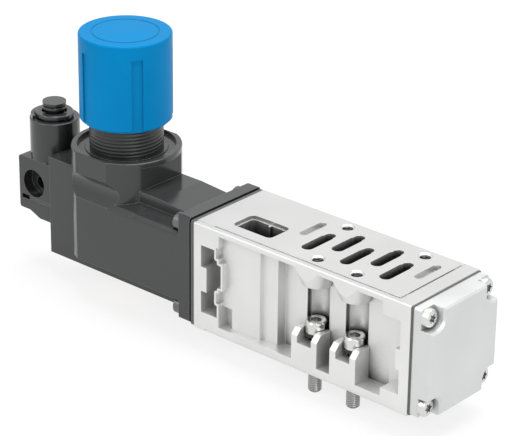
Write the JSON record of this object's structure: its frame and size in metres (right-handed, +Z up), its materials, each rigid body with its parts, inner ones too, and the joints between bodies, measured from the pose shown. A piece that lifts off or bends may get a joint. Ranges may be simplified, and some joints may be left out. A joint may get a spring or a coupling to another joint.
{
  "type": "pressure regulator plate",
  "caption": "Stacking plate with slotted air ports, a side regulator with a round adjusting knob, an end cap and a closed gauge connection.",
  "frame": {"origin": "centre of the port pattern on the base face of the die-cast plate", "axes": "+X along the plate towards the end cap, +Y towards the rear screw pair, +Z up towards the valve"},
  "size_m": [0.2275, 0.042, 0.1156],
  "materials": {
    "cast_plate": "fine satin die-cast surface",
    "cast_cap": "satin die-cast surface",
    "grey_seal": "matt rubber",
    "zinc_screw": "bright zinc plate",
    "black_rubber": "matt rubber",
    "grey_plastic": "semi-gloss",
    "black_moulding": "semi-gloss moulding",
    "black_screw": "black zinc plate",
    "blue_plastic": "satin moulding",
    "brass_part": "turned",
    "spring_steel": "drawn wire",
    "nickel_part": "nickel plate"
  },
  "bodies": {
    "base": {"plate_body": "cast_plate", "base_seal": "black_rubber", "mounting_screws": "zinc_screw", "screw_retainers": "black_rubber", "cap_gasket": "grey_seal", "end_cap": "cast_cap", "cap_screws": "zinc_screw", "flange_carrier": "grey_plastic", "flange_gasket": "black_rubber", "regulator_housing": "black_moulding", "housing_screws": "black_screw", "bonnet_ring": "black_moulding", "bonnet": "black_moulding", "spindle_ring": "spring_steel", "valve_seat": "brass_part", "bottom_plug": "brass_part", "bottom_plug_seal": "black_rubber", "gauge_cartridge": "nickel_part", "tube_seal": "black_rubber", "grip_ring": "spring_steel", "port_insert": "black_moulding", "retaining_clip": "black_moulding"},
    "spindle": {"spindle": "brass_part"},
    "knob": {"knob": "blue_plastic"},
    "nut": {"spring_nut": "brass_part", "range_spring": "spring_steel"},
    "piston": {"control_piston": "cast_cap", "piston_seal": "black_rubber"},
    "poppet": {"valve_poppet": "brass_part", "poppet_seal": "black_rubber", "poppet_spring": "spring_steel"},
    "release": {"release_ring": "black_moulding"},
    "plug": {"blanking_plug": "black_moulding"}
  },
  "joints": [
    {"name": "knob_turn", "type": "hinge", "parent": "base", "child": "spindle", "pos_m": [-0.1232, 0, 0.08], "axis": [0, 0, -1], "range_deg": [0, 720]},
    {"name": "knob_pull", "type": "slide", "parent": "spindle", "child": "knob", "axis": [0, 0, 1], "range_m": [0, 0.003]},
    {"name": "nut_travel", "type": "slide", "parent": "base", "child": "nut", "axis": [0, 0, -1], "range_m": [0, 0.003], "deforming": ["range_spring"]},
    {"name": "piston_travel", "type": "slide", "parent": "base", "child": "piston", "axis": [0, 0, -1], "range_m": [0, 0.0012], "stiffness_N_per_m": 2000},
    {"name": "poppet_travel", "type": "slide", "parent": "base", "child": "poppet", "axis": [0, 0, -1], "range_m": [0, 0.0012], "stiffness_N_per_m": 300, "springref_m": -0.004, "deforming": ["poppet_spring"]},
    {"name": "release_press", "type": "slide", "parent": "base", "child": "release", "axis": [0, 0, -1], "range_m": [0, 0.0007], "stiffness_N_per_m": 800, "springref_m": -0.001},
    {"name": "plug_pull", "type": "slide", "parent": "base", "child": "plug", "axis": [0, 0, 1], "range_m": [0, 0.022]}
  ],
  "couplings": [
    {"joint": "nut_travel", "follows": "knob_turn", "m_per_rad": 0.00023873},
    {"joint": "poppet_travel", "follows": "piston_travel", "ratio": 1}
  ]
}
